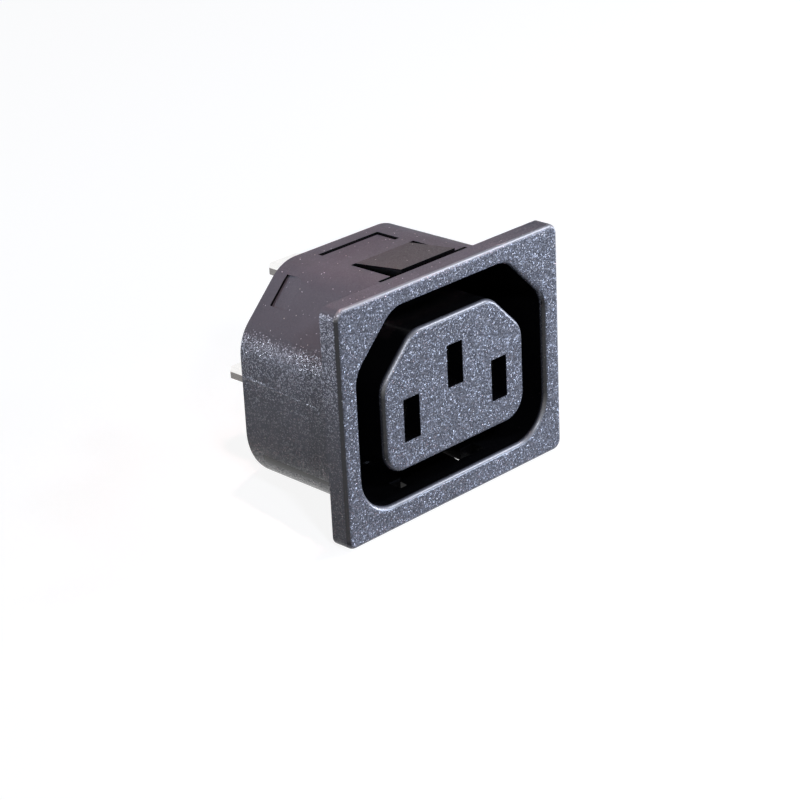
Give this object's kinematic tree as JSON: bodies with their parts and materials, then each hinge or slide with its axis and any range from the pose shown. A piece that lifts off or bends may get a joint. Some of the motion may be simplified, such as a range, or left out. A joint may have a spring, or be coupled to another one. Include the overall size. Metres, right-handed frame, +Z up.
{
  "type": "snap-in panel appliance outlet",
  "caption": "Snap-in panel outlet for an appliance plug connector: rectangular flange, shaped recess, slotted nose, spring contacts and push-on tabs.",
  "frame": {"origin": "point of the flange's rear face where the outlet's axis meets the front of the panel, 0.4 mm above the middle of that face", "axes": "+Z up, +Y into the panel towards the tabs, so the front of the flange faces -Y, and +X to the right of someone facing the outlet"},
  "size_m": [0.0348, 0.0269, 0.0277],
  "materials": {
    "housing_plastic": "black moulded thermoplastic, fine spark-eroded texture outside, smooth walls in the recess",
    "nose_plastic": "black moulded thermoplastic, fine spark-eroded texture on its front, smooth sides",
    "cover_plastic": "black moulded thermoplastic, fine matt texture",
    "plated_contact": "bright tin-plated copper-alloy sheet with faint rolling lines"
  },
  "bodies": {
    "root": {"housing": "housing_plastic", "nose_block": "nose_plastic", "rear_cover": "cover_plastic", "line_contact": "plated_contact", "neutral_contact": "plated_contact", "earth_contact": "plated_contact"}
  },
  "joints": []
}
